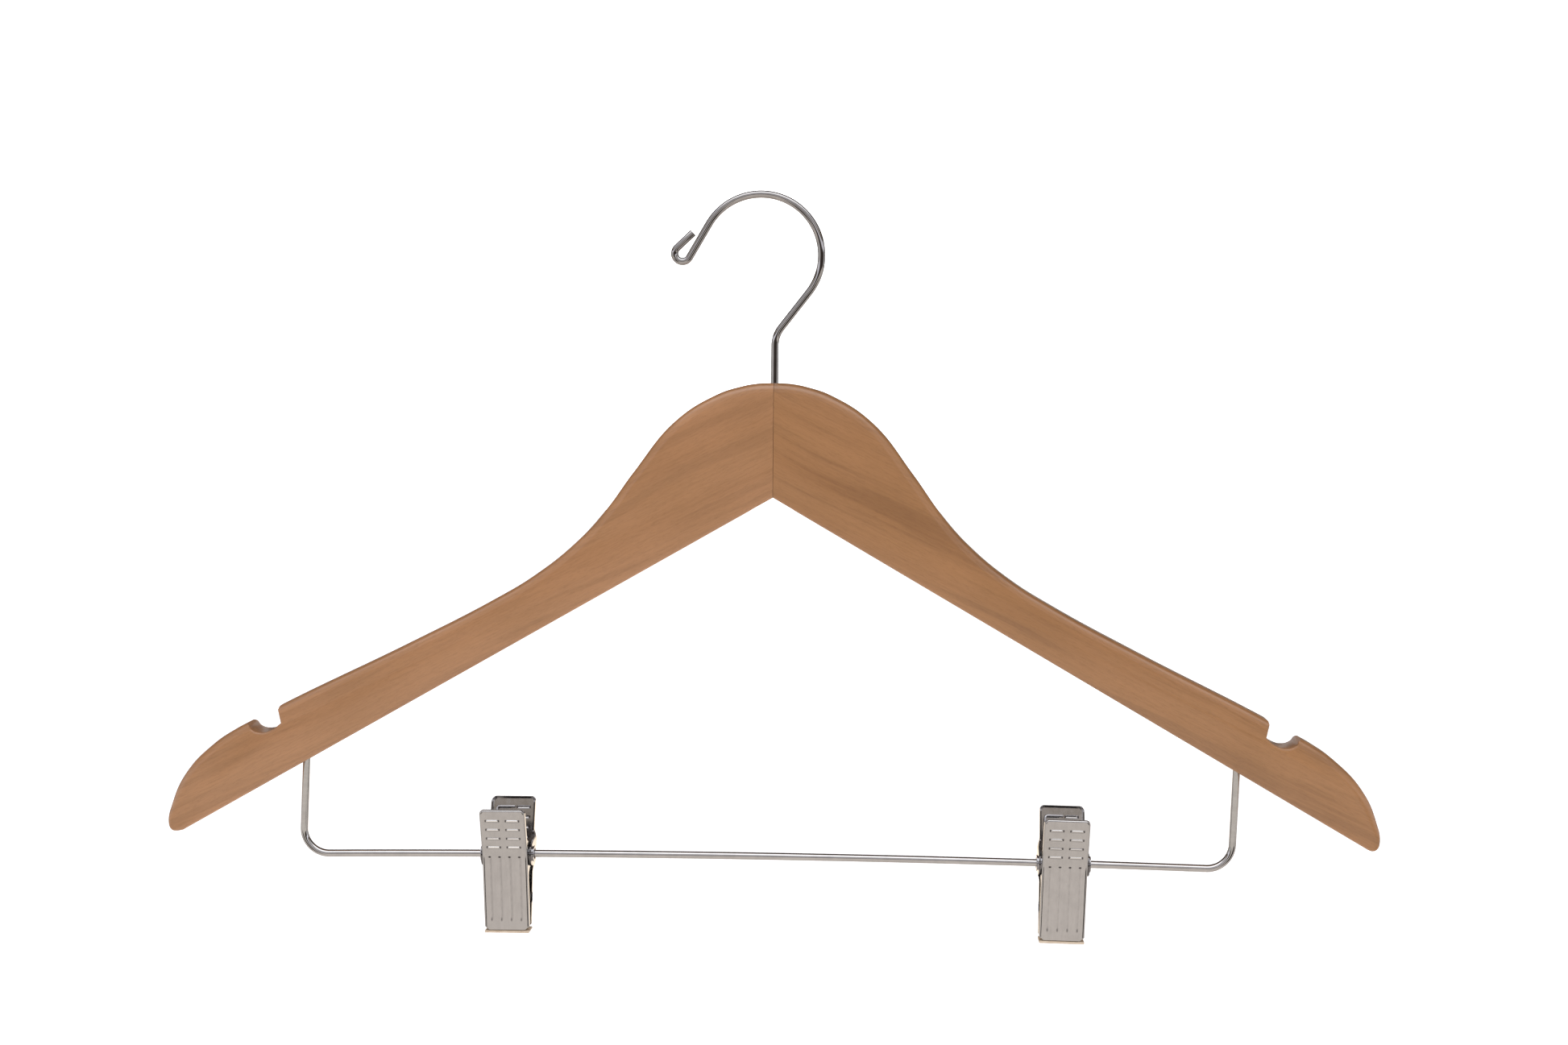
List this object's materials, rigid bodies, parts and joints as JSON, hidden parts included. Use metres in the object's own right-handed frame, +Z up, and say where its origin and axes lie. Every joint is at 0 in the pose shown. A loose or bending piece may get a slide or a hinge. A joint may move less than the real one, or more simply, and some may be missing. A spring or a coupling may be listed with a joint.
{
  "type": "clothes hanger",
  "caption": "Flat wooden coat hanger with strap notches, a swivelling wire hook, a wire trouser bar under the arms and sliding sprung metal clips.",
  "frame": {"origin": "the point on the inside of the hook's arc, straight above its stem, that rests on a rail", "axes": "+X to the right along the arms, -Y out of the front face, +Z up the hook's stem"},
  "size_m": [0.4344, 0.0258, 0.2681],
  "materials": {
    "wood": "clear satin lacquer",
    "dowel_wood": "bare",
    "chrome": "bright plated wire",
    "clip_steel": "bright plated sheet",
    "spring_steel": "plated spring wire",
    "brass": "turned",
    "pad_rubber": "moulded, matt"
  },
  "bodies": {
    "hook": {"hook": "chrome"},
    "hanger": {"swivel_sleeve": "brass", "left_arm": "wood", "right_arm": "wood", "upper_dowel": "dowel_wood", "lower_dowel": "dowel_wood", "clip_bar": "chrome"},
    "left_pivot": {"left_pivot_tube": "spring_steel"},
    "left_rear": {"left_rear_jaw": "clip_steel", "left_rear_pad": "pad_rubber", "left_spring": "spring_steel"},
    "left_front": {"left_front_jaw": "clip_steel", "left_front_pad": "pad_rubber"},
    "right_pivot": {"right_pivot_tube": "spring_steel"},
    "right_rear": {"right_rear_jaw": "clip_steel", "right_rear_pad": "pad_rubber", "right_spring": "spring_steel"},
    "right_front": {"right_front_jaw": "clip_steel", "right_front_pad": "pad_rubber"}
  },
  "joints": [
    {"name": "hook_swivel", "type": "hinge", "parent": "hook", "child": "hanger", "pos_m": [0, 0, -0.06493], "axis": [0, 0, 1], "continuous": true},
    {"name": "left_clip_slide", "type": "slide", "parent": "hanger", "child": "left_pivot", "axis": [0.9999, 0, 0.0102], "range_m": [-0.053, 0.084]},
    {"name": "left_clip_swing", "type": "hinge", "parent": "left_pivot", "child": "left_rear", "pos_m": [-0.0951, 0, -0.23604], "axis": [1, 0, 0.007], "continuous": true},
    {"name": "left_clip_open", "type": "hinge", "parent": "left_rear", "child": "left_front", "pos_m": [-0.0951, 0, -0.23604], "axis": [-1, 0, -0.007], "range_deg": [0, 35], "stiffness_Nm_per_rad": 0.06, "springref_deg": -68.75, "deforming": ["left_spring"]},
    {"name": "right_clip_slide", "type": "slide", "parent": "hanger", "child": "right_pivot", "axis": [0.9999, 0, -0.0106], "range_m": [-0.094, 0.039]},
    {"name": "right_clip_swing", "type": "hinge", "parent": "right_pivot", "child": "right_rear", "pos_m": [0.1052, 0, -0.23623], "axis": [0.9999, 0, -0.0157], "continuous": true},
    {"name": "right_clip_open", "type": "hinge", "parent": "right_rear", "child": "right_front", "pos_m": [0.1052, 0, -0.23623], "axis": [-0.9999, 0, 0.0157], "range_deg": [0, 35], "stiffness_Nm_per_rad": 0.06, "springref_deg": -68.75, "deforming": ["right_spring"]}
  ]
}
